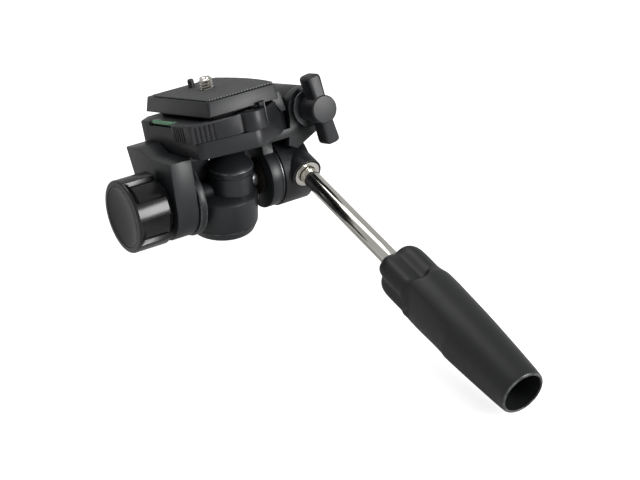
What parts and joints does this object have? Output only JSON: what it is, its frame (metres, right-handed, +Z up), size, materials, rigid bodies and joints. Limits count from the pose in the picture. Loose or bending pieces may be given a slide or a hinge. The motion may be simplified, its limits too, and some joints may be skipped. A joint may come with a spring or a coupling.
{
  "type": "tripod head",
  "caption": "Three-way pan, tilt and side-tilt camera head with pan handle, lobed pan lock, wing knob and lever-held quick-release plate.",
  "frame": {"origin": "centre of the base's underside, on the pan axis, where the tripod's threaded stud enters", "axes": "+Z up along the pan axis; X is the tilt axis, with the big pan knob at -X and the handle at +X; the handle points towards -Y"},
  "size_m": [0.1032, 0.2253, 0.0842],
  "materials": {
    "cast_black": "black textured paint",
    "black_abs": "fine-grained",
    "gloss_black": "gloss",
    "grip_rubber": "matt",
    "pad_rubber": "fine diamond texture",
    "plated_steel": "zinc plated",
    "bright_chrome": "polished",
    "brass": "machined",
    "fibre": "pressed friction material",
    "vial_clear": "clear acrylic",
    "level_green": "dyed liquid"
  },
  "bodies": {
    "base": {"base_flange": "cast_black", "tripod_insert": "brass", "pan_washer": "plated_steel", "pan_spring_washer": "plated_steel", "pan_nut": "plated_steel"},
    "trunk": {"trunk": "cast_black", "neck_cap": "cast_black", "friction_disc": "cast_black", "trunnion_nut": "cast_black", "thrust_washer": "fibre", "stub_axle": "plated_steel", "axle_screw": "plated_steel"},
    "pan_lock": {"pan_knob": "gloss_black", "pan_knob_cap": "gloss_black", "pan_knob_screw": "plated_steel"},
    "pan_brake": {"brake_pad": "fibre"},
    "yoke": {"yoke": "cast_black", "handle_boss": "black_abs", "boss_ring": "cast_black", "boss_screw_a": "plated_steel", "boss_screw_b": "plated_steel", "socket_ferrule": "bright_chrome", "hinge_bolt": "plated_steel", "hinge_washer": "bright_chrome"},
    "handle": {"handle_rod": "bright_chrome", "handle_grip": "grip_rubber", "grip_sleeve": "brass", "grip_nut": "plated_steel"},
    "side_lock": {"wing_knob": "black_abs", "wing_insert": "brass"},
    "platform": {"platform_base": "black_abs", "level_vial": "vial_clear", "level_liquid": "level_green", "level_plug": "black_abs", "lever_pin": "plated_steel", "lever_spring": "plated_steel"},
    "lever": {"clamp_lever": "black_abs"},
    "plate": {"quick_plate": "black_abs", "plate_pad": "pad_rubber", "pin_spring": "plated_steel"},
    "camera_screw": {"camera_screw": "bright_chrome"},
    "video_pin": {"video_pin": "black_abs"}
  },
  "joints": [
    {"name": "pan", "type": "hinge", "parent": "base", "child": "trunk", "pos_m": [0, 0, 0], "axis": [0, 0, 1], "continuous": true},
    {"name": "pan_knob_turn", "type": "hinge", "parent": "trunk", "child": "pan_lock", "pos_m": [0, 0, 0.02035], "axis": [1, 0, 0], "range_deg": [0, 90]},
    {"name": "brake_press", "type": "slide", "parent": "trunk", "child": "pan_brake", "axis": [1, 0, 0], "range_m": [0, 0.00028]},
    {"name": "tilt", "type": "hinge", "parent": "trunk", "child": "yoke", "pos_m": [0, 0, 0.02035], "axis": [1, 0, 0], "range_deg": [-50, 50]},
    {"name": "handle_twist", "type": "hinge", "parent": "yoke", "child": "handle", "pos_m": [0.0347, 0, 0.02735], "axis": [0, -0.9863, -0.165], "range_deg": [-180, 90]},
    {"name": "side_tilt", "type": "hinge", "parent": "yoke", "child": "platform", "pos_m": [0.042, 0.00932, 0.04569], "axis": [0, 0.9385, -0.3453], "range_deg": [0, 90]},
    {"name": "wing_knob_turn", "type": "hinge", "parent": "yoke", "child": "side_lock", "pos_m": [0.042, 0.00932, 0.04569], "axis": [0, -0.9385, 0.3453], "range_deg": [-180, 90]},
    {"name": "lever_swing", "type": "hinge", "parent": "platform", "child": "lever", "pos_m": [0.0058, -0.01913, 0.05669], "axis": [0, 0.3453, 0.9385], "range_deg": [0, 60], "stiffness_Nm_per_rad": 0.02, "springref_deg": -28.65},
    {"name": "plate_lift", "type": "slide", "parent": "platform", "child": "plate", "axis": [0, 0.3453, 0.9385], "range_m": [0, 0.02]},
    {"name": "camera_screw_turn", "type": "hinge", "parent": "plate", "child": "camera_screw", "pos_m": [0.004, 0.01663, 0.05685], "axis": [0, 0.3453, 0.9385], "continuous": true},
    {"name": "video_pin_press", "type": "slide", "parent": "plate", "child": "video_pin", "axis": [0, -0.3453, -0.9385], "range_m": [0, 0.0028], "stiffness_N_per_m": 400, "springref_m": -0.0015, "deforming": ["pin_spring"]}
  ],
  "couplings": [
    {"joint": "brake_press", "follows": "pan_knob_turn", "m_per_rad": 0.00015915}
  ]
}
